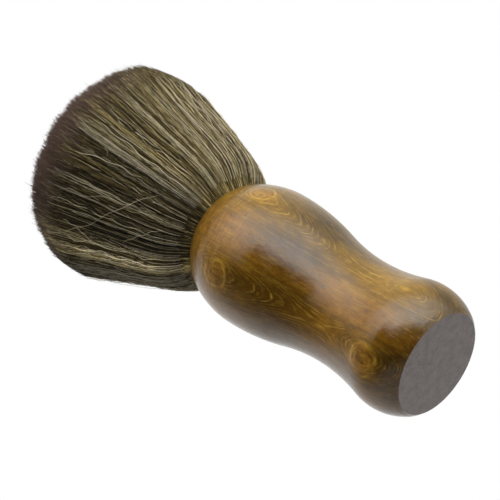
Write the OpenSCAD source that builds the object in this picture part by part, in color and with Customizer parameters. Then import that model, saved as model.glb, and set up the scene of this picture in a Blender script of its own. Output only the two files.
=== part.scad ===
// Neck duster brush: a turned wooden handle with a flat foot, and a round,
// domed tuft of fine fibres glued into a socket in the handle's head.
// Millimetres. The origin is the centre of the flat foot, +Z runs along the
// brush's axis to the fibre tips.

/* [Handle] */
// Radius of the flat foot
foot_r = 16; // [15:0.1:17]
// Small break of the foot's edge
foot_edge = 0.3; // [0.2:0.1:0.6]
// Radius of the lower bulb at its widest
bulb_r = 19.8; // [19:0.1:21]
// Height of the lower bulb's widest point
bulb_z = 10.6; // [10:0.1:12]
// Radius of the waist at its narrowest
waist_r = 17; // [16:0.1:17.4]
// Height of the waist
waist_z = 31.2; // [30:0.1:33]
// Radius of the head at its widest
head_r = 22; // [21.4:0.1:23]
// Height of the head's widest point
head_z = 67.5; // [66:0.1:69]
// Radius of the arc that closes the head towards the shoulder
crown_arc = 28.6; // [27:0.1:30]
// Height at which the crown arc turns into the shoulder arc
shoulder_z = 81.5; // [80.5:0.1:82]
// Radius of the shoulder arc
shoulder_arc = 14; // [13.4:0.1:14.6]
// Height of the handle at the socket's mouth
handle_h = 85.2; // [85:0.1:85.6]

/* [Socket] */
// Radius of the socket bored into the head
socket_r = 15; // [14.6:0.1:15.2]
// Depth of the socket below the mouth
socket_depth = 20; // [18:0.5:24]
// Break of the socket's inner edge
mouth_edge = 0.25; // [0.1:0.05:0.3]
// Thickness of the adhesive round and under the root plug
glue_t = 0.4; // [0.3:0.05:0.6]
// Fitting gap between neighbouring pieces inside the socket
gap = 0.05; // [0.03:0.01:0.1]
// Height of the resin plug that holds the fibre roots
plug_h = 12; // [10:0.5:13]

/* [Binding] */
// Radius of the binding cord
cord_r = 0.45; // [0.35:0.05:0.5]
// Turns of cord round the roots
cord_turns = 4; // [3:1:5]

/* [Tuft] */
// Radius of the fibre bundle inside the socket
bundle_r = 14.4; // [13.8:0.1:14.5]
// Extra radius the fibres gain as they spread over the shoulder
flare_r = 7.5; // [6.5:0.1:8]
// Length over which that first spread dies away
flare_len = 3.6; // [3.2:0.1:4.5]
// Radius gained per millimetre of length beyond the flare
spread = 0.317; // [0.28:0.005:0.34]
// Height of the widest point above the mouth
dome_z = 43.2; // [40:0.2:46]
// Height of the middle of the dome above the mouth
tuft_h = 63.8; // [62:0.2:66]
// Fullness of the dome (2 is an ellipse, more is squarer)
dome_n = 3.1; // [2.6:0.1:3.4]
// Part of the spread that belongs to the core bundle
core_share = 0.6; // [0.5:0.05:0.7]
// Gap between the core bundle and the outer bundle
bundle_gap = 0.15; // [0.1:0.05:0.3]

/* [Single fibres] */
// Pale fibres lying on the outside of the tuft
pale_count = 60; // [24:12:72]
// Radius of one pale fibre
pale_r = 0.14; // [0.1:0.02:0.2]
// Loose fibres that stand off the tuft
stray_count = 10; // [6:1:12]
// Radius of one loose fibre
stray_r = 0.11; // [0.08:0.01:0.14]

/* [Hidden] */
$fn = 180;

// The handle's outline is a chain of tangent arcs. Bulb arc: through the
// foot's edge, widest at bulb_z.
bulb_arc = (pow(bulb_r - foot_r, 2) + bulb_z * bulb_z) / (2 * (bulb_r - foot_r));
// Waist arc: tangent to the bulb arc, narrowest at waist_z.
waist_arc = (pow(bulb_r - waist_r, 2) + pow(waist_z - bulb_z, 2))
            / (2 * (bulb_r - waist_r)) - bulb_arc;
// Head arc: tangent to the waist arc, widest at head_z.
head_arc = (pow(head_r - waist_r, 2) + pow(head_z - waist_z, 2))
           / (2 * (head_r - waist_r)) - waist_arc;
// Heights at which one arc passes to the next.
bulb_top_z = bulb_z + (waist_z - bulb_z) * bulb_arc / (bulb_arc + waist_arc);
waist_top_z = waist_z + (head_z - waist_z) * waist_arc / (waist_arc + head_arc);
// Centre of the crown arc, and of the shoulder arc that touches it.
crown_cx = head_r - crown_arc;
crown_k = (crown_arc - shoulder_arc) / crown_arc;
shoulder_cx = crown_cx
    + crown_k * sqrt(pow(crown_arc, 2) - pow(shoulder_z - head_z, 2));
shoulder_cz = head_z + crown_k * (shoulder_z - head_z);
wide = head_r + 10;

socket_z = handle_h - socket_depth;
plug_z = socket_z + gap + glue_t + gap;
plug_r = socket_r - gap - glue_t - gap;
plug_top = plug_z + plug_h;
root_z = plug_top + gap;
cord_z = plug_top + 1.2;
cord_step = 2 * cord_r + 0.06;
groove_r = bundle_r - 2 * cord_r - 0.1;

// Radius of the bundle's outside at height s above the mouth, without a dome.
function flare(s) = bundle_r + flare_r * (1 - exp(-s / flare_len)) + spread * s;
wide_r = flare(dome_z);
// Radius of the dome at height s above the mouth.
function dome(s) = wide_r * pow(1 - pow((s - dome_z) / (tuft_h - dome_z), dome_n),
                                1 / dome_n);
// Golden angle, spreads single fibres evenly round the tuft.
golden = 137.508;
// A repeatable value from 0 to 1 for fibre i and use k.
function vary(i, k) = let (v = sin(i * 78.233 + k * 37.719) * 43758.5453) v - floor(v);

// One horizontal band of the handle's half outline.
module band(z0, z1) {
    translate([0, z0]) square([wide, z1 - z0]);
}

module handle_outline() {
    // foot to bulb
    intersection() {
        band(0, bulb_top_z);
        union() {
            translate([bulb_r - bulb_arc, bulb_z]) circle(r = bulb_arc, $fn = 360);
            square([bulb_r - bulb_arc, bulb_top_z]);
        }
    }
    // waist
    difference() {
        translate([0, bulb_top_z])
            square([waist_r + waist_arc, waist_top_z - bulb_top_z]);
        translate([waist_r + waist_arc, waist_z]) circle(r = waist_arc, $fn = 720);
    }
    // head
    intersection() {
        band(waist_top_z, head_z);
        translate([head_r - head_arc, head_z]) circle(r = head_arc, $fn = 720);
    }
    intersection() {
        band(head_z, shoulder_z);
        translate([crown_cx, head_z]) circle(r = crown_arc, $fn = 360);
    }
    // shoulder
    intersection() {
        band(shoulder_z, handle_h);
        union() {
            translate([shoulder_cx, shoulder_cz]) circle(r = shoulder_arc, $fn = 360);
            translate([0, shoulder_z]) square([shoulder_cx, handle_h - shoulder_z]);
        }
    }
}

// Turned wooden handle with the blind socket in its head.
module handle() {
    color([0.50, 0.33, 0.12])
    difference() {
        rotate_extrude() handle_outline();
        // break of the foot's edge
        rotate_extrude()
            polygon([[foot_r - foot_edge, -0.01], [foot_r + 2, -0.01],
                     [foot_r + 2, 2 + foot_edge]]);
        // socket, ending in the shallow cone a drill leaves
        translate([0, 0, socket_z]) cylinder(r = socket_r, h = socket_depth + 1);
        translate([0, 0, socket_z - 2])
            cylinder(r1 = 0.5, r2 = socket_r - 3, h = 2.001);
        // break of the mouth's inner edge
        translate([0, 0, handle_h - mouth_edge])
            cylinder(r1 = socket_r, r2 = socket_r + mouth_edge + 0.02,
                     h = mouth_edge + 0.02);
    }
}

// Hardened adhesive: a thin cup between the socket and the root plug.
module socket_adhesive() {
    color([0.80, 0.72, 0.50])
    difference() {
        translate([0, 0, socket_z + gap])
            cylinder(r = socket_r - gap, h = glue_t + gap + plug_h - 0.8);
        translate([0, 0, plug_z - gap])
            cylinder(r = plug_r + gap, h = plug_h + 1);
    }
}

// Cast resin plug that holds the fibre roots, with a rounded lower edge.
module root_plug() {
    color([0.16, 0.11, 0.07])
    translate([0, 0, plug_z])
    difference() {
        union() {
            cylinder(r = plug_r - 0.8, h = plug_h);
            translate([0, 0, 0.8]) cylinder(r = plug_r, h = plug_h - 0.8);
            translate([0, 0, 0.8])
                rotate_extrude() translate([plug_r - 0.8, 0]) circle(r = 0.8);
        }
        // dished top, where the resin has crept up the outermost fibres
        translate([0, 0, plug_h + 140 - 0.6]) sphere(r = 140, $fn = 180);
    }
}

// Turns of cord that tie the roots together above the plug.
module binding_cord() {
    color([0.75, 0.68, 0.55])
    for (i = [0 : cord_turns - 1])
        translate([0, 0, cord_z + i * cord_step])
            rotate_extrude() translate([groove_r + cord_r + 0.05, 0])
                circle(r = cord_r, $fn = 36);
}

// Half outline of the whole bundle above the plug.
module tuft_outline() {
    cord_top = cord_z + (cord_turns - 1) * cord_step;
    polygon(concat(
        [[0, root_z], [bundle_r - 0.4, root_z],
         [bundle_r - 0.4, cord_z - cord_r - 0.3],
         [groove_r, cord_z - cord_r - 0.1],
         [groove_r, cord_top + cord_r + 0.1],
         [bundle_r - 0.2, cord_top + cord_r + 0.5]],
        [for (s = [0 : 0.6 : 8.9]) [flare(s), handle_h + s]],
        [for (k = [0 : 10]) let (s = 9 + (dome_z - 9) * k / 10)
            [flare(s), handle_h + s]],
        [for (k = [1 : 23]) let (s = dome_z + (tuft_h - dome_z) * sin(k * 90 / 24))
            [dome(s), handle_h + s]],
        [[0, handle_h + tuft_h]]
    ));
}

// Region inside the line that parts the core bundle from the outer bundle.
module core_region(extra) {
    polygon(concat(
        [[0, root_z - 1], [core_share * (bundle_r - 1) + extra, root_z - 1]],
        [for (k = [0 : 20]) let (s = (tuft_h + 2) * k / 20)
            [core_share * flare(s) + extra - core_share * 1 * max(0, 1 - s / 4),
             handle_h + s]],
        [[0, handle_h + tuft_h + 2]]
    ));
}

// Inner bundle: everything between the axis and the parting line.
module core_fibres() {
    color([0.20, 0.17, 0.10])
    rotate_extrude() intersection() {
        tuft_outline();
        core_region(0);
    }
}

// Outer bundle: the ring of fibres that is seen from outside.
module outer_fibres() {
    color([0.33, 0.29, 0.19])
    rotate_extrude() difference() {
        tuft_outline();
        core_region(bundle_gap);
    }
}

// One fibre as an arc in its own radial plane. It lies off the tuft's side
// from height s0 to height s1 above the mouth; bow is its rise over the chord,
// lift its clearance at the root end and tip its clearance at the tip.
module arc_fibre(r, s0, s1, lift, tip, bow) {
    p0 = [flare(s0) + lift, handle_h + s0];
    p1 = [flare(s1) + tip, handle_h + s1];
    chord = norm(p1 - p0);
    arc_r = chord * chord / (8 * bow) + bow / 2;
    half = asin(chord / 2 / arc_r);
    lean = atan2(p1[0] - p0[0], p1[1] - p0[1]);
    translate([p0[0], 0, p0[1]])
        rotate([0, lean, 0])
            translate([bow - arc_r, 0, chord / 2])
                rotate([90, 0, 0])
                    rotate([0, 0, -half])
                        rotate_extrude(angle = 2 * half)
                            translate([arc_r, 0]) circle(r = r, $fn = 24);
}

// Pale single fibres, laid along the outside of the tuft.
module pale_fibres() {
    color([0.72, 0.68, 0.58])
    for (i = [0 : pale_count - 1])
        rotate([0, 0, i * golden])
            arc_fibre(pale_r, 5 + 7 * vary(i, 1), 33 + 8 * vary(i, 2),
                      0.5 + 0.3 * vary(i, 3), 0.5 + 0.4 * vary(i, 4), 1.0);
}

// Loose single fibres that stand a little off the tuft's side.
module stray_fibres() {
    color([0.45, 0.40, 0.30])
    for (i = [0 : stray_count - 1])
        rotate([0, 0, 20 + i * 360 / stray_count])
            arc_fibre(stray_r, 14 + 10 * vary(i, 5), 38 + 5 * vary(i, 6),
                      1.1, 1.6 + 1.2 * vary(i, 7), 1.2);
}

handle();
socket_adhesive();
root_plug();
binding_cord();
core_fibres();
outer_fibres();
pale_fibres();
stray_fibres();
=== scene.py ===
import bpy, math, time
import numpy as np
from mathutils import Matrix, Vector


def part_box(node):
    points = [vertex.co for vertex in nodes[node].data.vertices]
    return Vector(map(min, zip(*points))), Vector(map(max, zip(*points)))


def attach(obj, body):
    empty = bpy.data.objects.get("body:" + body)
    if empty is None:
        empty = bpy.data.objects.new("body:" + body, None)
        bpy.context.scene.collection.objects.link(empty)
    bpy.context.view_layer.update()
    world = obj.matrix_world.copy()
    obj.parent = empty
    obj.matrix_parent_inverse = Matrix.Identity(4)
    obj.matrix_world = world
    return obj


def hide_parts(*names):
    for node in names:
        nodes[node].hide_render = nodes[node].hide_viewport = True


T0 = time.time()
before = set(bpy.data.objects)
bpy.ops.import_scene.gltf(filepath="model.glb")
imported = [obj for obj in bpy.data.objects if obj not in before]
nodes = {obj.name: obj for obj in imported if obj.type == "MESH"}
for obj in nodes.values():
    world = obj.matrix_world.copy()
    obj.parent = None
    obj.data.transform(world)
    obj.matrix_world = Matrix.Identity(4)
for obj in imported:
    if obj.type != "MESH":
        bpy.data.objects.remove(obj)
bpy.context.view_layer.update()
RNG = np.random.default_rng(7321)

# ------------------------------------------------------------------ node helpers


class G:
    """A small builder for one material's (or the world's) node tree."""

    def __init__(self, tree):
        self.t = tree
        self.t.nodes.clear()

    def n(self, kind, ins=None, **props):
        node = self.t.nodes.new(kind)
        for k, v in props.items():
            setattr(node, k, v)
        for k, v in (ins or {}).items():
            self.put(node.inputs[k], v)
        return node

    def put(self, socket, v):
        if isinstance(v, bpy.types.NodeSocket):
            self.t.links.new(v, socket)
        elif isinstance(v, (tuple, list)) and socket.type == "RGBA" and len(v) == 3:
            socket.default_value = (*v, 1.0)
        else:
            socket.default_value = v

    def m(self, op, a, b=None, c=None, clamp=False):
        node = self.t.nodes.new("ShaderNodeMath")
        node.operation = op
        node.use_clamp = clamp
        self.put(node.inputs[0], a)
        if b is not None:
            self.put(node.inputs[1], b)
        if c is not None:
            self.put(node.inputs[2], c)
        return node.outputs[0]

    def v(self, op, a, b=None, scale=None):
        node = self.t.nodes.new("ShaderNodeVectorMath")
        node.operation = op
        self.put(node.inputs[0], a)
        if b is not None:
            self.put(node.inputs[1], b)
        if scale is not None:
            self.put(node.inputs["Scale"], scale)
        return node.outputs["Value"] if op in ("DOT_PRODUCT", "LENGTH") else node.outputs[0]

    def step(self, x, lo, hi, to0=0.0, to1=1.0):
        node = self.t.nodes.new("ShaderNodeMapRange")
        node.interpolation_type = "SMOOTHSTEP"
        self.put(node.inputs["Value"], x)
        self.put(node.inputs["From Min"], lo)
        self.put(node.inputs["From Max"], hi)
        self.put(node.inputs["To Min"], to0)
        self.put(node.inputs["To Max"], to1)
        return node.outputs["Result"]

    def noise(self, vec, scale=1.0, detail=2.0, rough=0.5, dims="3D", w=None, colour=False):
        node = self.t.nodes.new("ShaderNodeTexNoise")
        node.noise_dimensions = dims
        if vec is not None:
            self.put(node.inputs["Vector"], vec)
        if w is not None:
            self.put(node.inputs["W"], w)
        node.inputs["Scale"].default_value = scale
        node.inputs["Detail"].default_value = detail
        node.inputs["Roughness"].default_value = rough
        return node.outputs["Color"] if colour else node.outputs[0]

    def mix(self, f, a, b, blend="MIX"):
        node = self.t.nodes.new("ShaderNodeMix")
        node.data_type = "RGBA"
        node.blend_type = blend
        node.clamp_result = False
        self.put(node.inputs[0], f)
        self.put(node.inputs[6], a)
        self.put(node.inputs[7], b)
        return node.outputs[2]

    def ramp(self, f, stops, interp="LINEAR"):
        node = self.t.nodes.new("ShaderNodeValToRGB")
        cr = node.color_ramp
        cr.interpolation = interp
        while len(cr.elements) > 1:
            cr.elements.remove(cr.elements[-1])
        cr.elements[0].position = stops[0][0]
        cr.elements[0].color = (*stops[0][1], 1.0)
        for pos, col in stops[1:]:
            e = cr.elements.new(pos)
            e.color = (*col, 1.0)
        self.put(node.inputs[0], f)
        return node.outputs[0]

    def out(self, bsdf):
        o = self.t.nodes.new("ShaderNodeOutputMaterial")
        self.t.links.new(bsdf.outputs[0], o.inputs[0])


def material(name):
    m = bpy.data.materials.new(name)
    m.use_nodes = True
    return m, G(m.node_tree)


def mm_coords(g, squash=(1, 1, 1)):
    tc = g.n("ShaderNodeTexCoord")
    return g.v("MULTIPLY", tc.outputs["Object"], tuple(1000.0 * s for s in squash))


# ------------------------------------------------------------------ wood


def wood_material():
    mat, g = material("varnished_wood")
    p = mm_coords(g)

    def scaled(k, of=None):
        return g.v("MULTIPLY", p if of is None else of, k)

    def bell(x, centre, width):
        u = g.m("DIVIDE", g.m("SUBTRACT", x, centre), width)
        return g.m("EXPONENT", g.m("MULTIPLY", g.m("MULTIPLY", u, u), -0.5))

    def add(*terms):
        total = terms[0]
        for t in terms[1:]:
            total = g.m("ADD", total, t)
        return total

    # slow, middle and feathery warps of the growth layers, all drawn out along Z
    slow = g.v("SUBTRACT", g.noise(scaled((0.05, 0.05, 0.022)), 1.0, 2.0, 0.5, colour=True), (0.5, 0.5, 0.5))
    mid = g.v("SUBTRACT", g.noise(scaled((0.30, 0.30, 0.10)), 1.0, 2.0, 0.5, colour=True), (0.5, 0.5, 0.5))
    fine = g.v("SUBTRACT", g.noise(scaled((1.5, 1.5, 0.45)), 1.0, 2.0, 0.55, colour=True), (0.5, 0.5, 0.5))
    w = g.v("ADD", g.v("SCALE", slow, scale=2.2), g.v("SCALE", mid, scale=0.9))
    w = g.v("ADD", w, g.v("SCALE", fine, scale=0.22))
    q = g.v("ADD", p, w)
    x, y, z = g.n("ShaderNodeSeparateXYZ", {0: q}).outputs
    azim = g.m("ARCTAN2", y, x)
    deg = g.m("MULTIPLY", azim, 180.0 / math.pi)
    # turned so that ang runs from the front's straight-grained line
    ang = g.m("SUBTRACT", azim, math.radians(GRAIN_AZ))
    ang = g.m("MULTIPLY_ADD", g.m("SINE", g.m("MULTIPLY", ang, 2.0)), 0.09, ang)
    r = g.m("SQRT", g.m("ADD", g.m("MULTIPLY", x, x), g.m("MULTIPLY", y, y)))
    s2 = g.m("SINE", g.m("MULTIPLY", ang, 2.0))
    c2 = g.m("COSINE", g.m("MULTIPLY", ang, 2.0))
    layer = g.m("MULTIPLY", g.m("MULTIPLY", r, s2), g.m("MULTIPLY_ADD", c2, 0.25, 1.0))
    layer = g.m("ADD", layer, g.m("MULTIPLY", g.m("MULTIPLY", z, 0.05), g.m("ADD", s2, 1.0)))

    # knots: a ringed heart, a shade around it, and growth layers that bend past it
    heart_m, ring_m, shade_m = 0.0, 0.0, 0.0
    lumpy = g.noise(scaled((0.34, 0.34, 0.34)), 1.0, 3.0, 0.6)
    worn = g.step(g.noise(scaled((0.28, 0.28, 0.28)), 1.0, 2.0, 0.5), 0.40, 0.60, 0.25, 1.0)
    for az0, z0, half_w, half_h, side, force in KNOTS:
        c, sn = math.cos(math.radians(az0)), math.sin(math.radians(az0))
        across = g.m("DIVIDE", g.v("DOT_PRODUCT", q, (-sn, c, 0.0)), half_w)
        along = g.m("DIVIDE", g.m("SUBTRACT", z, z0), half_h)
        d = g.m("SQRT", g.m("ADD", g.m("MULTIPLY", across, across), g.m("MULTIPLY", along, along)))
        d = g.m("MULTIPLY_ADD", g.m("SUBTRACT", lumpy, 0.5), 0.55, d)
        near = g.m("MULTIPLY", g.step(g.v("DOT_PRODUCT", q, (c, sn, 0.0)), 4.0, 9.0), force)
        layer = g.m("MULTIPLY_ADD", g.m("MULTIPLY", near, bell(d, 0.0, 1.25)), 1.5 * side, layer)
        heart_m = g.m("ADD", heart_m, g.m("MULTIPLY", near, g.step(d, 1.05, 0.8)))
        rings = add(bell(d, 1.0, 0.09), g.m("MULTIPLY", bell(d, 0.60, 0.07), 0.45), g.m("MULTIPLY", bell(d, 0.24, 0.07), 0.4),
                    g.m("MULTIPLY", bell(d, 1.42, 0.05), 0.25))
        ring_m = g.m("ADD", ring_m, g.m("MULTIPLY", near, rings))
        shade_m = g.m("ADD", shade_m, g.m("MULTIPLY", near, bell(d, 1.75, 0.5)))

    t = g.m("DIVIDE", layer, RING)
    drift = g.noise(None, 1.0, 2.0, 0.5, dims="1D", w=g.m("MULTIPLY", t, 0.31))
    wave = g.m("SINE", g.m("ADD", g.m("MULTIPLY", t, 2 * math.pi), g.m("MULTIPLY", drift, 9.0)))
    line = g.step(wave, 0.35, 1.0)
    amp = g.step(g.noise(None, 1.0, 1.0, 0.5, dims="1D", w=g.m("MULTIPLY_ADD", t, 0.47, 31.7)), 0.33, 0.68, 0.15, 1.0)
    broken = g.step(g.noise(scaled((0.55, 0.55, 0.20)), 1.0, 3.0, 0.6), 0.38, 0.62, 0.12, 1.0)
    line = g.m("MULTIPLY", g.m("MULTIPLY", line, amp), broken)
    # broken, hair-fine second set of lines
    t2 = g.m("MULTIPLY_ADD", t, 1.37, g.m("MULTIPLY", drift, 3.0))
    line2 = g.step(g.m("SINE", g.m("MULTIPLY", t2, 2 * math.pi)), 0.0, 1.0)
    line2 = g.m("MULTIPLY", line2, g.step(g.noise(scaled((0.8, 0.8, 0.22)), 1.0, 2.0, 0.5), 0.44, 0.62))
    band = g.noise(None, 1.0, 1.0, 0.5, dims="1D", w=g.m("MULTIPLY_ADD", t, 0.11, 3.3))
    cloud = g.noise(scaled((0.10, 0.10, 0.05)), 1.0, 2.0, 0.5)
    patch = g.noise(scaled((0.45, 0.45, 0.22)), 1.0, 3.0, 0.6)
    streak = g.noise(scaled((3.2, 3.2, 0.30)), 1.0, 3.0, 0.6)
    # open pores: thin dark dashes on the side, dots on the end grain
    pore_n = g.noise(scaled((5.2, 5.2, 0.42)), 1.0, 1.0, 0.5)
    pore = g.step(pore_n, 0.66, 0.76)
    # short ray flecks that run across the grain, plainest round the crown and the lower waist
    run = g.m("SUBTRACT", z, r)
    rays = g.noise(g.n("ShaderNodeCombineXYZ", {0: g.m("MULTIPLY", azim, 3.4), 1: g.m("MULTIPLY", run, 1.35), 2: 0.0}).outputs[0], 1.0, 2.0, 0.6)
    ray_at = add(bell(z, 80.0, 8.5), g.m("MULTIPLY", bell(z, 22.0, 8.0), 0.10), 0.0)
    ray_at = g.m("MULTIPLY", ray_at, g.step(cloud, 0.36, 0.60, 0.45, 1.0))
    ray_up = g.m("MULTIPLY", g.step(rays, 0.52, 0.66), ray_at)
    ray_dn = g.m("MULTIPLY", g.step(rays, 0.46, 0.34), ray_at)
    # depth of the stain with painted shade in it: darker towards the middle and the foot, where the faces turn down
    # from the light, paler at both bulges, which turn up to it
    tone = add(
        g.m("MULTIPLY", bell(z, 47.5, 9.5), -0.80),
        g.m("MULTIPLY", bell(z, -1.0, 6.5), -0.98),
        g.m("MULTIPLY", g.m("MULTIPLY", bell(deg, -116.0, 12.0), bell(z, 56.0, 8.0)), -0.38),
        g.m("MULTIPLY", g.m("MULTIPLY", bell(deg, -73.0, 11.0), bell(z, 51.0, 10.0)), -0.40),
        g.m("MULTIPLY", g.m("MULTIPLY", bell(deg, -110.0, 9.0), bell(z, 5.0, 4.5)), -0.60),
        g.m("MULTIPLY", g.m("MULTIPLY", bell(deg, -107.0, 9.0), bell(z, 40.0, 7.0)), -0.25),
        g.m("MULTIPLY", g.m("MULTIPLY", bell(deg, -36.0, 9.0), bell(z, 51.0, 7.0)), -0.40),
        g.m("MULTIPLY", g.m("MULTIPLY", bell(deg, -152.0, 13.0), bell(z, 18.0, 6.0)), -0.45),
        g.m("MULTIPLY", g.m("MULTIPLY", bell(deg, -156.0, 8.0), bell(z, 9.0, 4.0)), 0.50),
        g.m("MULTIPLY", g.m("MULTIPLY", bell(deg, -94.0, 7.0), bell(z, 47.0, 12.0)), 0.28),
        g.m("MULTIPLY", g.m("MULTIPLY", bell(deg, -50.0, 5.0), bell(z, 51.0, 4.0)), 0.40),
        g.m("MULTIPLY", bell(deg, -25.0, 7.0), -0.38),
        g.m("MULTIPLY", g.m("MULTIPLY", bell(deg, -73.0, 14.0), bell(z, 12.0, 6.0)), -0.10),
        g.m("MULTIPLY", g.m("MULTIPLY", bell(deg, -91.0, 9.0), bell(z, 12.0, 4.5)), 0.30),
        g.m("MULTIPLY", g.m("MULTIPLY", bell(deg, -102.0, 6.0), bell(z, 37.0, 4.0)), -0.28),
        g.m("MULTIPLY", g.m("MULTIPLY", bell(deg, -37.0, 7.0), bell(z, 41.0, 5.0)), 0.22),
        g.m("MULTIPLY", g.m("MULTIPLY", bell(deg, -66.0, 5.0), bell(z, 53.0, 5.0)), -0.24),
        g.m("MULTIPLY", bell(z, 84.0, 4.5), -0.42),
        g.m("MULTIPLY", bell(z, 69.0, 4.0), 0.14),
        g.m("MULTIPLY", shade_m, -0.30),
        g.m("MULTIPLY_ADD", cloud, 0.5, -0.25),
        g.m("MULTIPLY_ADD", patch, 0.9, -0.45),
        g.m("MULTIPLY_ADD", streak, 0.9, -0.45),
        g.m("MULTIPLY_ADD", band, 0.8, -0.4),
    )
    # stain and painted shade together, as a factor on the wood colour
    stain_and_shade = g.m("EXPONENT", tone)
    green = g.m("MULTIPLY", stain_and_shade, g.step(deg, -100.0, -35.0, 0.96, 1.12))
    green = g.m("MULTIPLY", green, g.m("MULTIPLY_ADD", bell(deg, -84.0, 11.0), -0.12, 1.0))
    tint = g.n("ShaderNodeCombineColor", {0: stain_and_shade, 1: green, 2: stain_and_shade}).outputs[0]
    col = g.mix(1.0, WOOD_BODY, tint, "MULTIPLY")
    heart_c = g.mix(g.step(patch, 0.35, 0.65), WOOD_HEART_DARK, WOOD_HEART)
    col = g.mix(g.m("MULTIPLY", heart_m, 0.75), col, heart_c)
    gold = add(g.m("MULTIPLY", line, 0.66), g.m("MULTIPLY", line2, 0.26), g.m("MULTIPLY", g.m("MULTIPLY", ring_m, worn), 0.72))
    root_stain_and_shade = g.m("POWER", stain_and_shade, 0.5)
    gold_c = g.mix(1.0, WOOD_GOLD, g.n("ShaderNodeCombineColor", {0: root_stain_and_shade, 1: root_stain_and_shade, 2: root_stain_and_shade}).outputs[0], "MULTIPLY")
    col = g.mix(gold, col, gold_c)
    col = g.mix(g.m("MULTIPLY", ray_up, 0.55), col, gold_c)
    col = g.mix(g.m("MULTIPLY", ray_dn, 0.62), col, WOOD_PORE)
    col = g.mix(g.m("MULTIPLY", pore, 0.35), col, WOOD_PORE)
    # the foot's sanded end grain takes the stain to a warm grey
    geo = g.n("ShaderNodeNewGeometry")
    nz = g.n("ShaderNodeSeparateXYZ", {0: geo.outputs["Normal"]}).outputs[2]
    pz = g.n("ShaderNodeSeparateXYZ", {0: p}).outputs[2]
    foot = g.m("MULTIPLY", g.step(nz, -0.9, -0.97), g.step(pz, 0.6, 0.3))
    dots = g.m("MULTIPLY_ADD", g.noise(scaled((0.32, 0.32, 0.3)), 1.0, 3.0, 0.6), 0.55,
               g.m("MULTIPLY", g.noise(scaled((1.9, 1.9, 0.4)), 1.0, 3.0, 0.6), 0.45))
    dots = g.step(dots, 0.34, 0.62)
    speck = g.step(g.noise(scaled((3.4, 3.4, 0.4)), 1.0, 1.0, 0.5), 0.30, 0.24)
    end = g.mix(dots, END_DARK, END_GREY)
    end = g.mix(g.m("MULTIPLY", speck, 0.7), end, END_SPECK)
    col = g.mix(foot, col, end)
    bump_h = g.m("ADD", g.m("MULTIPLY", pore, -1.0), g.m("MULTIPLY", gold, 0.3))
    bump = g.n("ShaderNodeBump", {"Strength": 0.25, "Distance": 0.00003, "Height": bump_h})
    peel = g.noise(scaled((0.55, 0.55, 0.35)), 1.0, 3.0, 0.55)
    coat_h = g.m("ADD", g.m("MULTIPLY", peel, 1.0), add(g.m("MULTIPLY", streak, 0.34), g.m("MULTIPLY", pore, -0.16), g.m("MULTIPLY", g.m("SUBTRACT", ray_up, ray_dn), 0.22), g.m("MULTIPLY", line, 0.16)))
    coat_bump = g.n("ShaderNodeBump", {"Strength": 0.4, "Distance": 0.00014, "Height": coat_h})
    smear = g.noise(scaled((0.12, 0.12, 0.12)), 1.0, 4.0, 0.6)
    b = g.n("ShaderNodeBsdfPrincipled", {
        "Base Color": col,
        "Roughness": g.step(streak, 0.2, 0.8, 0.6, 0.45),
        "Specular IOR Level": 0.0,
        "Normal": bump.outputs[0],
        "Coat Weight": g.m("MULTIPLY_ADD", g.step(streak, 0.45, 0.72), -0.28, g.m("MULTIPLY_ADD", pore, -0.35, 1.0)),
        "Coat Roughness": g.m("MULTIPLY_ADD", g.step(pz, 73.0, 80.0), 0.22, g.step(smear, 0.3, 0.75, 0.07, 0.13)),
        "Coat IOR": 1.5,
        "Coat Normal": coat_bump.outputs[0],
    })
    g.out(b)
    return mat


GRAIN_AZ = -82.5
RING = 0.74
# azimuth, height, half width, half height in mm, which way the layers bend, strength
KNOTS = [(-122.0, 67.6, 4.0, 4.2, -1, 0.8), (-120.5, 11.0, 4.4, 4.7, -1, 1.0), (-43.5, 70.6, 3.5, 3.8, 1, 0.75)]
WOOD_BODY = (0.172, 0.081, 0.0030)
WOOD_GOLD = (0.43, 0.245, 0.030)
WOOD_HEART = (0.25, 0.108, 0.010)
WOOD_HEART_DARK = (0.10, 0.042, 0.004)
WOOD_PORE = (0.030, 0.014, 0.003)
END_DARK = (0.050, 0.038, 0.034)
END_GREY = (0.105, 0.080, 0.072)
END_SPECK = (0.030, 0.018, 0.014)

# ------------------------------------------------------------------ fibres

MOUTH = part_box("handle")[1].z * 1000.0
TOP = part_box("core_fibres")[1].z * 1000.0
TUFT = TOP - MOUTH + 0.8
WIDE = (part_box("outer_fibres")[1].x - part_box("outer_fibres")[0].x) * 500.0 + 0.4
PLUG_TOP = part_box("root_plug")[1].z * 1000.0
ROOT_R = 14.4
FLARE, FLARE_L = 7.5, 3.6
DOME_Z = 43.2
SPREAD = (WIDE - ROOT_R - FLARE) / DOME_Z
DOME_N = 3.1
SAG = 0.45


def smooth(x, a, b):
    u = np.clip((x - a) / (b - a), 0, 1)
    return u * u * (3 - 2 * u)


def flare(s):
    s = np.asarray(s, float)
    up = np.maximum(s, 0.0)
    fill = 0.70 * np.where(s > 0, np.exp(-up / 2.5), smooth(s, -7.0, 0.0))
    return ROOT_R + fill + FLARE * (1 - np.exp(-up / FLARE_L)) + SPREAD * up - SAG * np.sin(np.pi * np.clip(up / DOME_Z, 0, 1))


def dome(s):
    u = np.clip((s - DOME_Z) / (TUFT - DOME_Z), 0, 1)
    return np.where(s < DOME_Z, 1e3, WIDE * (1 - u ** DOME_N) ** (1 / DOME_N) + 1e-6)


S_TABLE = np.linspace(DOME_Z, TUFT - 1e-4, 600)
RHO_TABLE = dome(S_TABLE) / flare(S_TABLE)


def meet(rho):
    """Height above the mouth at which a fibre of that share of the flare reaches the dome."""
    return np.interp(-rho, -RHO_TABLE, S_TABLE)


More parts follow.
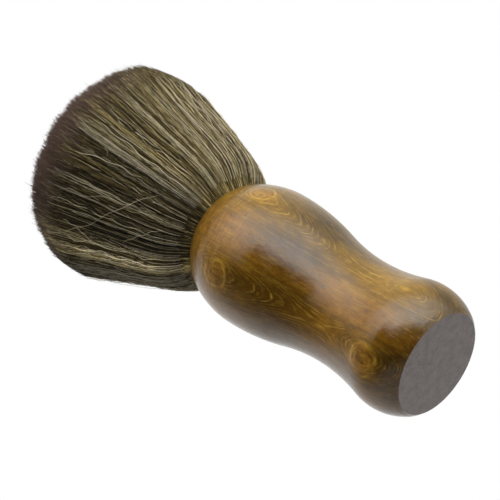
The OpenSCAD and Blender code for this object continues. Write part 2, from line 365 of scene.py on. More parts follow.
BIG, SMALL = 84, 560
big_jit = RNG.uniform(-0.35, 0.35, BIG)
big_pull = RNG.uniform(0.0, 0.4, BIG)
big_rise = RNG.uniform(-1.0, 1.0, BIG)
big_tone = RNG.normal(0, 1, BIG)
small_jit = RNG.uniform(-0.4, 0.4, SMALL)
small_pull = RNG.uniform(0.0, 0.22, SMALL)
small_rise = RNG.uniform(-1.0, 1.0, SMALL)
small_tone = RNG.normal(0, 1, SMALL)
small_amp = RNG.uniform(0.03, 0.15, SMALL)
small_len = RNG.uniform(11, 26, SMALL)
small_ph = RNG.uniform(0, 2 * np.pi, SMALL)
small_lean = RNG.normal(0, 1, SMALL)
# partings: narrow valleys that run up the bundle (azimuth, half width, depth in mm)
PARTINGS = [(-76, 0.9, 0.8), (-87, 0.7, 0.7), (-97, 1.0, 1.1), (-104, 1.6, 1.3), (-112, 0.9, 1.0), (-119, 0.8, 0.9), (-127, 1.4, 1.2),
            (-136, 1.0, 1.0), (-143, 0.9, 0.9), (-52, 0.7, 0.6), (-33, 0.8, 0.6)] + [
            (float(a), float(w), float(d)) for a, w, d in zip(RNG.uniform(-15, 200, 19), RNG.uniform(0.6, 1.4, 19), RNG.uniform(0.6, 1.2, 19))]


def parting(phi):
    """How deep in a valley a fibre stands, in mm."""
    deg = np.degrees(phi)
    total = np.zeros_like(deg)
    for a, w, d in PARTINGS:
        off = (deg - a + 180) % 360 - 180
        total = np.maximum(total, d * np.exp(-0.5 * (off / w) ** 2))
    return total




def lobe(phi, centre, width):
    """1 for fibres at an azimuth (degrees), falling off to either side."""
    off = (np.degrees(phi) - centre + 180) % 360 - 180
    return np.exp(-0.5 * (off / width) ** 2)


def paths(rho, phi, s0, s1, steps, proud=0.0, wave=1.0, lean=1.0):
    """Centre lines of fibres: (N, steps + 1, 3) in mm, and how far along each point is."""
    n = len(rho)
    s1 = s1 + (1.8 * lobe(phi, -17, 9) - 1.1 * lobe(phi, -52, 10) - 1.5 * lobe(phi, -157, 9) + 0.5 * lobe(phi, 178, 8) - 0.35 * lobe(phi, -105, 30)) * smooth(rho, 0.6, 0.9)
    s1 = s1 + 0.45 * small_rise[np.floor(phi / (2 * np.pi / SMALL)).astype(int) % SMALL] + 0.35 * big_rise[np.floor(phi / (2 * np.pi / BIG)).astype(int) % BIG]
    s1 = np.minimum(s1, TUFT + 0.8)
    u = np.linspace(0, 1, steps + 1)
    u = u[None, :]
    s = s0[:, None] + (s1 - s0)[:, None] * u
    grow = smooth(s, 2, 46)
    step_b, step_s = 2 * np.pi / BIG, 2 * np.pi / SMALL
    ib = np.floor(phi / step_b).astype(int) % BIG
    cb = (np.floor(phi / step_b) + 0.5 + big_jit[ib]) * step_b
    i2 = np.floor(phi / step_s).astype(int) % SMALL
    c2 = (np.floor(phi / step_s) + 0.5 + small_jit[i2]) * step_s
    db, d2 = (cb - phi), (c2 - phi)
    ang = phi[:, None] + grow * (db * big_pull[ib] * 0.75)[:, None] + grow * (d2 * small_pull[i2] * 0.7)[:, None]
    edge = np.clip(np.abs(db) / (step_b * 0.6), 0, 1) ** 2
    lift = grow * ((big_rise[ib] * 0.18 - 0.10 - edge * 0.25 - parting(phi))[:, None] + (small_rise[i2] * 0.05)[:, None])
    r = rho[:, None] * flare(s)
    d = dome(s - np.maximum(s1 - meet(rho) - 0.2, 0.0)[:, None])
    p = 45.0
    r = (np.maximum(r, 1e-3) ** -p + np.maximum(d, 1e-3) ** -p) ** (-1 / p)
    # waves shared by a lock, and smaller ones of each fibre
    a1 = small_amp[i2] * RNG.uniform(0.6, 1.3, n) * wave
    k1 = 2 * np.pi / (small_len[i2] * RNG.uniform(0.93, 1.07, n))
    w1 = a1[:, None] * np.sin(k1[:, None] * s + (small_ph[i2] + RNG.normal(0, 0.35, n))[:, None])
    a2 = np.abs(RNG.normal(0, 0.14, n)) * wave
    k2 = 2 * np.pi / RNG.uniform(6.0, 14, n)
    w2 = a2[:, None] * np.sin(k2[:, None] * s + RNG.uniform(0, 2 * np.pi, n)[:, None])
    w3 = a2[:, None] * np.sin(1.31 * k2[:, None] * s + RNG.uniform(0, 2 * np.pi, n)[:, None])
    drift = (RNG.normal(0, 0.95, n) + 0.35 * small_lean[i2]) * lean
    side = smooth(s, -2, 14) * (w1 + w2) + drift[:, None] * (np.clip(s, 0, None) / 45.0) ** 1.3
    out = smooth(s, 0, 12) * (0.6 * w3 + 0.15 * w1)
    # the tuft is not quite round: fuller and slacker in places
    p1 = phi[:, None]
    lift = lift - 1.2 * lobe(p1, -3, 14) * smooth(s, 22, 40) + 0.45 * lobe(p1, 0, 24) * np.exp(-0.5 * ((s - 4) / 3.5) ** 2) + 0.2 * lobe(p1, -175, 10) * smooth(s, 24, 42) \
        - 0.6 * lobe(p1, 168, 16) * np.exp(-0.5 * ((s - 15) / 11) ** 2)
    rr = np.maximum(r + (lift + out + proud) * rho[:, None] * smooth(s, -1, 6), 0.02)
    ang = ang + side / np.maximum(rr, 4.0)
    pts = np.stack([rr * np.cos(ang), rr * np.sin(ang), MOUTH + s], -1)
    return pts, np.broadcast_to(u, s.shape), (ib, i2)


def tubes(name, pts, along, radius, sides, tone, hue, slot, mat, taper_root=0.65, taper_tip=0.35):
    """One mesh of closed tapered tubes. Vertex colour: tone, along, hue, and 1 in the fourth channel."""
    n, k, _ = pts.shape
    t = np.gradient(pts, axis=1)
    t /= np.linalg.norm(t, axis=2, keepdims=True) + 1e-12
    ref = np.zeros_like(t)
    ref[..., 0] = -pts[..., 1]
    ref[..., 1] = pts[..., 0]
    ref /= np.linalg.norm(ref, axis=2, keepdims=True) + 1e-9
    a = np.cross(t, ref)
    a /= np.linalg.norm(a, axis=2, keepdims=True) + 1e-12
    b = np.cross(t, a)
    u = along
    rad = radius[:, None] * (taper_root + (1 - taper_root) * smooth(u, 0, 0.3)) * (1 - (1 - taper_tip) * smooth(u, 0.82, 1.0))
    th = np.arange(sides) * 2 * np.pi / sides + 0.3
    ring = pts[:, :, None, :] + rad[:, :, None, None] * (
        np.cos(th)[None, None, :, None] * a[:, :, None, :] + np.sin(th)[None, None, :, None] * b[:, :, None, :])
    verts = ring.reshape(-1, 3) * 0.001
    base = (np.arange(n) * k * sides)[:, None, None]
    lv = (np.arange(k - 1) * sides)[None, :, None]
    sd = np.arange(sides)[None, None, :]
    nx = (sd + 1) % sides
    quads = np.stack([base + lv + sd, base + lv + nx, base + lv + sides + nx, base + lv + sides + sd], -1).reshape(-1, 4)
    b0 = (np.arange(n) * k * sides)[:, None]
    cap0 = b0 + np.arange(sides)[::-1][None, :]
    cap1 = b0 + (k - 1) * sides + np.arange(sides)[None, :]
    caps = np.concatenate([cap0, cap1]).reshape(-1, sides)
    loops = np.concatenate([quads.ravel(), caps.ravel()]).astype(np.int32)
    sizes = np.concatenate([np.full(len(quads), 4), np.full(len(caps), sides)]).astype(np.int32)
    starts = np.concatenate([[0], np.cumsum(sizes)[:-1]]).astype(np.int32)
    me = bpy.data.meshes.new(name)
    me.vertices.add(len(verts))
    me.vertices.foreach_set("co", verts.astype(np.float32).ravel())
    me.loops.add(len(loops))
    me.loops.foreach_set("vertex_index", loops)
    me.polygons.add(len(sizes))
    me.polygons.foreach_set("loop_start", starts)
    me.polygons.foreach_set("loop_total", sizes)
    me.update(calc_edges=True)
    me.polygons.foreach_set("use_smooth", np.concatenate([np.ones(len(quads), bool), np.zeros(len(caps), bool)]))
    col = np.zeros((n, k, sides, 4), np.float32)
    col[..., 0] = np.clip(tone, 0, 1)[:, None, None]
    col[..., 1] = u[:, :, None]
    col[..., 2] = hue[:, None, None]
    col[..., 3] = 1
    at = me.attributes.new("fibre", "FLOAT_COLOR", "POINT")
    at.data.foreach_set("color", col.ravel())
    # a cell of the bake sheet for every fibre
    cols = max(1, int(math.ceil(math.sqrt(n / 6.0))))
    rows = int(math.ceil(n / cols))
    cw, ch = 1.0 / cols, 1.0 / rows
    idx = np.arange(n)
    cx, cy = (idx % cols) * cw, (idx // cols) * ch
    vi = loops // (k * sides)
    lev = (loops % (k * sides)) // sides
    sid = loops % sides
    corner = np.arange(len(loops)) % 4
    qs = np.tile(np.arange(sides), n * (k - 1)).repeat(4)
    right = np.isin(corner[: quads.size], (1, 2)).astype(float)
    uu = np.empty(len(loops))
    uu[: quads.size] = (qs + right) / sides
    uu[quads.size:] = sid[quads.size:] / sides
    vv = lev / (k - 1.0)
    uv = np.stack([cx[vi] + cw * (0.12 + 0.76 * uu), cy[vi] + ch * (0.03 + 0.94 * vv)], -1)
    layer = me.uv_layers.new(name="OFBake")
    layer.data.foreach_set("uv", uv.astype(np.float32).ravel())
    me.validate()
    ob = bpy.data.objects.new(name, me)
    bpy.context.scene.collection.objects.link(ob)
    me.materials.append(mat)
    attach(ob, "root")
    return ob


def fibre_material(name, stops, root, tip_tint, tip_mix, rough, painted_shade_strength=0.5):
    mat, g = material(name)
    at = g.n("ShaderNodeAttribute", attribute_name="fibre")
    rgb = g.n("ShaderNodeSeparateColor", {0: at.outputs["Color"]})
    tone, along, hue = rgb.outputs
    p = mm_coords(g)
    blotch = g.noise(g.v("MULTIPLY", p, (0.9, 0.9, 0.16)), 1.0, 2.0, 0.5)
    f = g.m("ADD", tone, g.m("MULTIPLY_ADD", blotch, 0.3, -0.15), clamp=True)
    col = g.ramp(f, stops)
    warm = g.mix(hue, (1.0, 0.98, 0.86), (1.0, 0.93, 0.95))
    col = g.mix(1.0, col, warm, "MULTIPLY")
    z = g.n("ShaderNodeSeparateXYZ", {0: p}).outputs[2]
    h = g.m("SUBTRACT", z, MOUTH)
    x, y = g.n("ShaderNodeSeparateXYZ", {0: p}).outputs[:2]
    deg = g.m("MULTIPLY", g.m("ARCTAN2", y, x), 180.0 / math.pi)
    # painted shade: the fibres darken towards the mouth, where they pack into the socket
    dark = g.step(h, 2.0, 10.0, root, 1.0)
    # painted light: the fibres in the crease at the mouth are brightened against the shade there, most on one side
    painted_crease_light = g.m("MULTIPLY", g.step(h, 2.6, 0.2), g.step(deg, -80.0, -110.0, 0.7, 2.2))
    dark = g.m("MULTIPLY", dark, g.m("ADD", painted_crease_light, 1.0))
    # painted shade: the fibres on the front-left side, turned from the light, are darkened all the way up
    painted_shade_side = g.m("MULTIPLY", g.step(deg, -62.0, -101.0), g.step(deg, -148.0, -137.0))
    dark = g.m("MULTIPLY", dark, g.m("MULTIPLY_ADD", painted_shade_side, -painted_shade_strength, 1.0))
    # painted light: a brighter rim of fibres on one side above the mouth, where light from behind grazes the bundle
    off = g.m("DIVIDE", g.m("ADD", deg, 147.0), 7.0)
    painted_rim_light = g.m("EXPONENT", g.m("MULTIPLY", g.m("MULTIPLY", off, off), -0.5))
    painted_rim_light = g.m("MULTIPLY", painted_rim_light, g.step(h, 1.0, 10.0))
    dark = g.m("MULTIPLY", dark, g.m("MULTIPLY_ADD", painted_rim_light, 1.05, 1.0))
    for centre, width, gain in ((-102.0, 5.0, 0.34), (-83.0, 6.0, -0.20), (-67.0, 5.5, 0.22), (-38.0, 8.0, 0.12), (-129.0, 4.0, -0.16), (-112.0, 4.0, 0.16)):
        at_az = g.m("DIVIDE", g.m("SUBTRACT", deg, centre), width)
        at_az = g.m("EXPONENT", g.m("MULTIPLY", g.m("MULTIPLY", at_az, at_az), -0.5))
        dark = g.m("MULTIPLY", dark, g.m("MULTIPLY_ADD", at_az, gain, 1.0))
    for centre, width, up, reach, gain in ((-82.5, 6.0, 8.0, 6.0, -0.20), (-67.5, 6.0, 17.0, 8.0, 0.15), (-97.0, 6.0, 38.0, 7.0, 0.24),
                                           (-112.5, 6.0, 42.0, 7.0, -0.28), (-127.5, 6.0, 40.0, 7.0, 0.42), (-8.0, 7.0, 12.0, 7.0, -0.12)):
        u = g.m("DIVIDE", g.m("SUBTRACT", deg, centre), width)
        v = g.m("DIVIDE", g.m("SUBTRACT", h, up), reach)
        near = g.m("EXPONENT", g.m("MULTIPLY", g.m("ADD", g.m("MULTIPLY", u, u), g.m("MULTIPLY", v, v)), -0.5))
        dark = g.m("MULTIPLY", dark, g.m("MULTIPLY_ADD", near, gain, 1.0))
    # painted shade: on the front side the fibres darken further towards the mouth, where the bundle faces down
    painted_low_shade = g.m("MULTIPLY", g.m("MULTIPLY", g.step(deg, -66.0, -84.0), g.step(deg, -122.0, -108.0)), g.step(h, 44.0, 16.0, -0.02, -0.16))
    dark = g.m("MULTIPLY", dark, g.m("ADD", painted_low_shade, 1.0))
    edge = g.m("MULTIPLY", g.m("LESS_THAN", deg, 0.0), g.step(deg, -154.0, -164.0))
    dark = g.m("MULTIPLY", dark, g.m("MULTIPLY_ADD", edge, -0.40, 1.0))
    bright = g.m("MULTIPLY", g.m("MULTIPLY", g.step(deg, -28.0, -12.0), g.step(deg, 80.0, 40.0)), 0.03)
    dark = g.m("MULTIPLY", dark, g.m("ADD", bright, 1.0))
    col = g.mix(1.0, col, g.n("ShaderNodeCombineColor", {0: dark, 1: dark, 2: dark}).outputs[0], "MULTIPLY")
    tip = g.m("MULTIPLY", g.step(g.m("MULTIPLY_ADD", tone, -7.0, h), 35.0, 48.0), tip_mix)
    tip = g.m("MULTIPLY", tip, g.m("MULTIPLY_ADD", g.m("MULTIPLY", g.step(deg, -58.0, -30.0), g.step(deg, 60.0, 20.0)), -0.7, 1.0))
    col = g.mix(tip, col, tip_tint)
    b = g.n("ShaderNodeBsdfPrincipled", {
        "Base Color": col,
        "Roughness": g.step(blotch, 0.3, 0.7, rough - 0.05, rough + 0.08),
        "Specular IOR Level": 0.15,
    })
    g.out(b)
    return mat


OLIVE = [(0.0, (0.010, 0.0068, 0.0018)), (0.35, (0.064, 0.0465, 0.0125)), (0.65, (0.168, 0.1285, 0.042)),
         (0.85, (0.315, 0.258, 0.104)), (1.0, (0.50, 0.425, 0.210))]
OLIVE = [(p, tuple(0.90 * v for v in c)) for p, c in OLIVE]
CREAM = [(0.0, (0.165, 0.135, 0.068)), (0.5, (0.405, 0.360, 0.232)), (1.0, (0.76, 0.71, 0.53))]
TIP = (0.070, 0.039, 0.030)
mat_outer = fibre_material("outer_fibre", OLIVE, 0.85, TIP, 0.85, 0.55)
mat_inner = fibre_material("core_fibre", [(p, tuple(0.72 * v for v in c)) for p, c in OLIVE], 0.8, TIP, 0.85, 0.5)
mat_pale = fibre_material("pale_fibre", CREAM, 0.85, (0.16, 0.105, 0.08), 0.75, 0.4, 0.45)
mat_stray = fibre_material("stray_fibre", CREAM, 0.9, (0.16, 0.11, 0.085), 0.5, 0.42, 0.3)


def strands(kind, n, rho, phi, s0, s1, steps, radius, sides, tone, mat, slot, replaces, chunk, proud=0.0, wave=1.0, lean=1.0, **kw):
    pts, along, (ib, i2) = paths(rho, phi, s0, s1, steps, proud, wave, lean)
    # painted shade: fibres sunk in a parting get a darker tone
    tone = tone + 0.05 * big_tone[ib] + 0.03 * small_tone[i2] - 0.28 * np.clip(parting(phi), 0, 1)
    hue = RNG.uniform(0, 1, n)
    order = np.argsort(phi)
    parts = max(1, int(math.ceil(n / chunk)))
    for j, idx in enumerate(np.array_split(order, parts)):
        name = kind if parts == 1 else f"{kind}_{j + 1:02d}"
        ob = tubes(name, pts[idx], along[idx], radius[idx], sides, tone[idx], hue[idx], slot, mat, **kw)
        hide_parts(replaces)


FULL = 1.0

# outer bundle: whole fibres from the socket to the tip
N = int(20000 * FULL)
rho = 0.86 + 0.135 * RNG.uniform(0, 1, N) ** 0.7
phi = RNG.uniform(0, 2 * np.pi, N)
tip = meet(rho) - 0.1 + RNG.normal(0, 0.8, N) + RNG.exponential(0.35, N)
tip = np.minimum(tip, TUFT + 0.6)
tone = np.where(RNG.uniform(0, 1, N) < 0.70, RNG.normal(0.22, 0.13, N), RNG.normal(0.82, 0.13, N))
tone = np.clip(tone, 0.02, 0.98)
strands("outer_fibres", N, rho, phi, np.full(N, PLUG_TOP - MOUTH + 0.3), tip, 17,
        RNG.uniform(0.065, 0.110, N), 3, tone, mat_outer, "outer_fibre", "outer_fibres", 1900)

# inner bundle: the ends that show in the dome, rising out of a solid heart
N = int(15000 * FULL)
rho = 0.90 * np.sqrt(RNG.uniform(0, 1, N))
phi = RNG.uniform(0, 2 * np.pi, N)
tip = meet(rho) + RNG.uniform(-1.4, 0.5, N)
tip = np.minimum(tip, TUFT - 0.25)
tone = np.clip(RNG.normal(0.40, 0.19, N), 0.02, 0.98)
strands("core_fibres", N, rho, phi, tip - 13.0, tip, 4,
        RNG.uniform(0.10, 0.16, N), 3, tone, mat_inner, "core_fibre", "core_fibres", 7000, wave=0.8)

# pale single fibres
N = int(1350 * FULL)
rho = RNG.uniform(0.94, 1.0, N)
phi = RNG.uniform(0, 2 * np.pi, N)
# two in three run in small wisps that share a path
wisp = np.floor(RNG.uniform(0, 1, N) * 150).astype(int)
wisp_phi = RNG.uniform(0, 2 * np.pi, 150)
together = RNG.uniform(0, 1, N) < 0.60
phi = np.where(together, (wisp_phi[wisp] + RNG.normal(0, 0.009, N)) % (2 * np.pi), phi)
tip = meet(rho) + RNG.uniform(-4, 1.2, N)
s0 = np.full(N, PLUG_TOP - MOUTH + 0.3)
strands("pale_fibres", N, rho, phi, s0, tip, 26, RNG.uniform(0.05, 0.08, N), 3, RNG.uniform(0, 1, N) ** 0.7,
        mat_pale, "pale_fibre", "pale_fibres", 1250, proud=0.16, wave=1.7)

# loose fibres that have worked free, and a few shed ones lying across the bundle
N = 46
rho = RNG.uniform(0.97, 1.0, N)
phi = RNG.uniform(0, 2 * np.pi, N)
tip = meet(np.minimum(rho, 1.0)) + RNG.uniform(-6, 1.5, N)
strands("stray_fibres", N, rho, phi, RNG.uniform(8, 20, N), tip, 20, RNG.uniform(0.06, 0.09, N), 4, RNG.uniform(0.5, 1.0, N),
        mat_stray, "stray_fibre", "stray_fibres", 1500, proud=0.4, wave=2.6, lean=7.0)


def lying(turns):
    """Fibres that lie on the tuft: each is a list of (azimuth, height above the mouth)."""
    pts = []
    for turn in turns:
        knots = np.linspace(0, 1, len(turn))
        u = np.linspace(0, 1, 29)
        deg = np.interp(u, knots, [a for a, _ in turn])
        s = np.interp(u, knots, [h for _, h in turn])
        for _ in range(4):
            deg[1:-1] = (deg[:-2] + 2 * deg[1:-1] + deg[2:]) / 4
            s[1:-1] = (s[:-2] + 2 * s[1:-1] + s[2:]) / 4
        a = np.radians(deg + 0.5 * np.sin(u * 19.0) + 2.2 * np.sin(u * np.pi))
        rr = np.minimum(flare(s), dome(s)) + 0.35
        pts.append(np.stack([rr * np.cos(a), rr * np.sin(a), MOUTH + s], -1))
    pts = np.array(pts)
    n = len(pts)
    u = np.broadcast_to(np.linspace(0, 1, 29)[None, :], (n, 29))
    ob = tubes("shed_fibres", pts, u, np.full(n, 0.052), 4, np.full(n, 0.8), np.full(n, 0.4), "stray_fibre", mat_stray)
    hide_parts("stray_fibres")


lying([
    [(-138, 36.7), (-130, 28.2), (-116, 20.8), (-102, 14.6), (-90, 10)],
    [(-131, 37.5), (-136, 32.4), (-142, 27.0)],
    [(-133, 17), (-125, 11.1), (-114, 6.2)],
    [(-82.7, 33.6), (-87, 32.2), (-88, 30.0)],
    [(60, 30), (74, 22), (95, 19)],
    [(150, 16), (162, 27), (165, 38)],
])


def heart():
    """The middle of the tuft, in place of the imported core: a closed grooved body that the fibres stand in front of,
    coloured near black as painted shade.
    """
    na, rows = 720, 46
    s = np.concatenate([np.linspace(PLUG_TOP - MOUTH + 0.2, 40, 26)[:-1], np.linspace(40, TUFT - 5.5, 21)])
    share = 0.89
    r = np.minimum(share * flare(s), np.maximum(dome(np.minimum(s + 5.2, TUFT - 1e-3)) - 3.5, 0.05))
    r = np.where(s > TUFT - 6.0, np.minimum(r, 16), r)
    th = np.arange(na) * 2 * np.pi / na
    groove = 0.22 * np.sin(th * 97 + 1.3 * np.sin(th * 11)) + 0.16 * np.sin(th * 223 + 2.0 * np.sin(th * 17)) + 0.10 * RNG.normal(0, 1, na)
    rr = r[:, None] * (1 + (groove[None, :] * smooth(s, 0, 20)[:, None] - 0.3) / 36.0)
    v = np.stack([rr * np.cos(th), rr * np.sin(th), np.broadcast_to((MOUTH + s)[:, None], rr.shape)], -1)
    k = len(s)
    verts = np.concatenate([v.reshape(-1, 3), [[0, 0, MOUTH + s[0]]], [[0, 0, MOUTH + s[-1] + 0.4]]]) * 0.001
    i = np.arange(na)
    j = (i + 1) % na
    q = [np.stack([a * na + i, a * na + j, (a + 1) * na + j, (a + 1) * na + i], -1) for a in range(k - 1)]
    q = np.concatenate(q)
    c0, c1 = k * na, k * na + 1
    tri = np.concatenate([np.stack([np.full(na, c0), j, i], -1), np.stack([np.full(na, c1), (k - 1) * na + i, (k - 1) * na + j], -1)])
    me = bpy.data.meshes.new("shaded_fibre_heart")
    me.from_pydata(verts.tolist(), [], q.tolist() + tri.tolist())
    me.polygons.foreach_set("use_smooth", np.ones(len(me.polygons), bool))
    me.update()
    mat, g = material("shaded_fibre_heart")
    p = mm_coords(g)
    sep = g.n("ShaderNodeSeparateXYZ", {0: p})
    a = g.m("ARCTAN2", sep.outputs[1], sep.outputs[0])
    vec = g.n("ShaderNodeCombineXYZ", {0: g.m("MULTIPLY", a, 60.0), 1: g.m("MULTIPLY", sep.outputs[2], 0.06), 2: 0.0}).outputs[0]
    nn = g.noise(vec, 1.0, 4.0, 0.65)
    # painted shade: the heart is coloured near black, as the fibres deep in the bundle are in shade
    col = g.ramp(nn, [(0.3, (0.006, 0.005, 0.003)), (0.6, (0.032, 0.026, 0.014)), (0.8, (0.07, 0.058, 0.034))])
    bp = g.n("ShaderNodeBump", {"Strength": 0.8, "Distance": 0.0003, "Height": nn})
    g.out(g.n("ShaderNodeBsdfPrincipled", {"Base Color": col, "Roughness": 0.75, "Specular IOR Level": 0.2, "Normal": bp.outputs[0]}))
    ob = bpy.data.objects.new("shaded_fibre_heart", me)
    bpy.context.scene.collection.objects.link(ob)
    me.materials.append(mat)
    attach(ob, "root")
    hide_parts("core_fibres")
    return ob


heart()

# ------------------------------------------------------------------ hidden parts


def resin_material():
    mat, g = material("resin")
    p = mm_coords(g)
    n1 = g.noise(g.v("MULTIPLY", p, (0.5, 0.5, 0.5)), 1.0, 4.0, 0.6)
    bub = g.n("ShaderNodeTexVoronoi", {"Vector": p, "Scale": 0.55})
    spot = g.step(bub.outputs["Distance"], 0.16, 0.10)
    col = g.ramp(n1, [(0.3, (0.020, 0.012, 0.007)), (0.7, (0.06, 0.036, 0.018))])
    col = g.mix(spot, col, (0.16, 0.11, 0.06))
    bp = g.n("ShaderNodeBump", {"Strength": 0.3, "Distance": 0.0002, "Height": g.m("SUBTRACT", n1, spot)})
    g.out(g.n("ShaderNodeBsdfPrincipled", {"Base Color": col, "Roughness": g.step(n1, 0.3, 0.7, 0.2, 0.4), "Coat Weight": 0.4, "Normal": bp.outputs[0]}))
    return mat


def adhesive_material():
    mat, g = material("adhesive")
    p = mm_coords(g)
    n1 = g.noise(g.v("MULTIPLY", p, (0.7, 0.7, 0.4)), 1.0, 4.0, 0.6)
    col = g.ramp(n1, [(0.3, (0.42, 0.27, 0.09)), (0.7, (0.74, 0.58, 0.30))])
    bp = g.n("ShaderNodeBump", {"Strength": 0.4, "Distance": 0.0002, "Height": n1})
    g.out(g.n("ShaderNodeBsdfPrincipled", {"Base Color": col, "Roughness": g.step(n1, 0.3, 0.7, 0.15, 0.35), "Normal": bp.outputs[0]}))
    return mat


def cord_material():
    mat, g = material("cord")
    p = mm_coords(g)
    sep = g.n("ShaderNodeSeparateXYZ", {0: p})
    a = g.m("ARCTAN2", sep.outputs[1], sep.outputs[0])
    ply = g.m("SINE", g.m("ADD", g.m("MULTIPLY", a, 150.0), g.m("MULTIPLY", sep.outputs[2], 5.5)))
    ply = g.m("MULTIPLY_ADD", ply, 0.5, 0.5)
    fuzz = g.noise(g.v("MULTIPLY", p, (6, 6, 6)), 1.0, 3.0, 0.6)
    k = g.m("MULTIPLY_ADD", fuzz, 0.5, g.m("MULTIPLY", ply, 0.6))
    col = g.ramp(k, [(0.15, (0.20, 0.15, 0.09)), (0.8, (0.62, 0.54, 0.40))])
    bp = g.n("ShaderNodeBump", {"Strength": 0.8, "Distance": 0.00015, "Height": k})
    g.out(g.n("ShaderNodeBsdfPrincipled", {"Base Color": col, "Roughness": 0.6, "Sheen Weight": 0.2, "Normal": bp.outputs[0]}))
    return mat


def finish_node(name, mat):
    ob = nodes[name]
    ob.data.materials.clear()
    ob.data.materials.append(mat)


finish_node("handle", wood_material())
finish_node("root_plug", resin_material())
finish_node("socket_adhesive", adhesive_material())
finish_node("binding_cord", cord_material())
print("materials and fibres", round(time.time() - T0, 1), "s")

# ------------------------------------------------------------------ stage, light, camera

scene = bpy.context.scene
scene.view_settings.view_transform = "Standard"
scene.view_settings.look = "None"

# The camera looks up at the standing brush from in front and below, rolled.
CAM_AT = Vector((0.0, -0.387481, -0.213278))
RIGHT = Vector((0.52558735, 0.50813479, -0.68231736)).normalized()
AWAY = Vector((-0.00074707, 0.80230377, 0.59691549)).normalized()
UP = (RIGHT.cross(AWAY)).normalized()
RIGHT = AWAY.cross(UP)
cam_data = bpy.data.cameras.new("camera")
cam = bpy.data.objects.new("camera", cam_data)
scene.collection.objects.link(cam)
cam_data.sensor_width = 36.0
cam_data.lens = 115.2
cam_data.clip_start, cam_data.clip_end = 0.01, 20.0
cam.matrix_world = Matrix((
    (RIGHT.x, UP.x, -AWAY.x, CAM_AT.x),
    (RIGHT.y, UP.y, -AWAY.y, CAM_AT.y),
    (RIGHT.z, UP.z, -AWAY.z, CAM_AT.z),
    (0, 0, 0, 1)))
scene.camera = cam
focus = bpy.data.objects.new("focus", None)
focus.location = (0, 0, 0.060)
scene.collection.objects.link(focus)
cam_data.dof.use_dof = True
cam_data.dof.focus_object = focus
cam_data.dof.aperture_fstop = 45.0

# Pale floor under the foot. From below it is clear, so the low camera sees the
# brush against the same white as in a light tent.
me = bpy.data.meshes.new("floor")
F = 4.0
me.from_pydata([(-F, -F, -0.0004), (F, -F, -0.0004), (F, F, -0.0004), (-F, F, -0.0004)], [], [(0, 1, 2, 3)])
floor = bpy.data.objects.new("floor", me)
scene.collection.objects.link(floor)
mat, g = material("floor")
geo = g.n("ShaderNodeNewGeometry")
gr = g.noise(g.n("ShaderNodeTexCoord").outputs["Object"], 90.0, 3.0, 0.6)
tint = g.ramp(gr, [(0.3, (0.80, 0.80, 0.79)), (0.7, (0.84, 0.84, 0.83))])
solid = g.n("ShaderNodeBsdfPrincipled", {"Base Color": tint, "Roughness": 0.7, "Specular IOR Level": 0.15})
clear = g.n("ShaderNodeBsdfTransparent")
sw = g.n("ShaderNodeMixShader", {0: geo.outputs["Backfacing"], 1: solid.outputs[0], 2: clear.outputs[0]})
g.out(sw)
me.materials.append(mat)
for flag in ("visible_diffuse", "visible_glossy", "visible_transmission", "visible_volume_scatter", "visible_shadow"):
    setattr(floor, flag, False)

# A light tent: white behind the object, dark by the camera, and one large soft
# box above the lens, dimmer towards its sides.
world = bpy.data.worlds.new("tent")
scene.world = world
world.use_nodes = True
g = G(world.node_tree)
d = g.n("ShaderNodeTexCoord").outputs["Generated"]
d = g.v("NORMALIZE", d)
to_cam = g.v("DOT_PRODUCT", d, tuple(-AWAY))
to_up = g.v("DOT_PRODUCT", d, tuple(UP))
to_right = g.v("DOT_PRODUCT", d, tuple(RIGHT))
theta = g.m("DIVIDE", g.m("ARCCOSINE", g.m("MINIMUM", g.m("MAXIMUM", to_cam, -1.0), 1.0)), math.pi)
clock = g.m("MULTIPLY", g.m("ARCTAN2", to_right, to_up), 180.0 / math.pi)


def levels(stops, at=theta):
    """Brightness against the angle from the lens, in degrees."""
    return g.m("MULTIPLY", g.ramp(at, [(a / 180.0, (v / 5.0,) * 3) for a, v in stops]), 5.0)


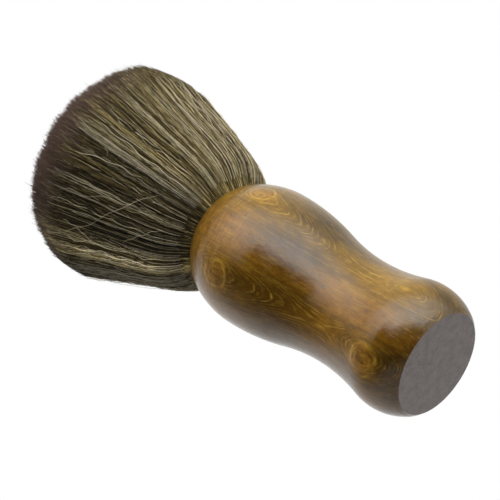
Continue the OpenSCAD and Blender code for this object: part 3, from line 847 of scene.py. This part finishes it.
reach = g.m("MULTIPLY_ADD", g.m("ABSOLUTE", clock), -0.09 / 180.0, theta)
top = levels([(0, 0.06), (25, 0.12), (29, 0.75), (33, 2.2), (37.5, 3.7), (42, 4.7), (58, 4.9), (65, 3.9), (80, 3.2), (86, 2.6), (92, 1.8), (98, 1.25), (106, 1.0), (180, 0.95)], reach)
dark = levels([(0, 0.05), (76, 0.06), (84, 0.12), (96, 0.22), (104, 0.33), (110, 0.5), (118, 0.85), (130, 1.15), (180, 0.95)])
rest = levels([(0, 0.02), (24, 0.05), (36, 0.3), (48, 0.5), (60, 0.6), (78, 0.66), (90, 0.8), (110, 0.95), (180, 0.95)])
left_end = g.step(theta, 56 / 180.0, 68 / 180.0, 62.0, 96.0)
w_left = g.m("SUBTRACT", 1.0, g.step(g.m("MULTIPLY", clock, -1.0), 28.0, left_end))
w_right = g.step(clock, 8.0, 105.0, 1.0, 0.0)
w_top = g.m("MULTIPLY", w_left, w_right)
w_dark = g.m("MULTIPLY", g.m("MULTIPLY", g.step(clock, -152.0, -122.0), g.m("LESS_THAN", clock, 0.0)), g.m("SUBTRACT", 1.0, w_top))
w_rest = g.m("SUBTRACT", g.m("SUBTRACT", 1.0, w_top), w_dark)
level = g.m("ADD", g.m("ADD", g.m("MULTIPLY", top, w_top), g.m("MULTIPLY", dark, w_dark)), g.m("MULTIPLY", rest, w_rest))
right_side = g.m("MULTIPLY", g.m("MULTIPLY", g.step(clock, 12.0, 50.0), g.step(clock, 106.0, 84.0)), g.step(theta, 96 / 180.0, 110 / 180.0))
level = g.m("MULTIPLY", level, g.m("MULTIPLY_ADD", right_side, -0.36, 1.0))
lp = g.n("ShaderNodeLightPath")
seen = g.mix(lp.outputs["Is Camera Ray"], g.n("ShaderNodeCombineColor", {0: level, 1: level, 2: level}).outputs[0], (1.0, 1.0, 1.0))
bg = g.n("ShaderNodeBackground", {"Color": seen, "Strength": 1.0})
o = g.n("ShaderNodeOutputWorld")
g.t.links.new(bg.outputs[0], o.inputs[0])

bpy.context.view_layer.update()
print("total", round(time.time() - T0, 1), "s")
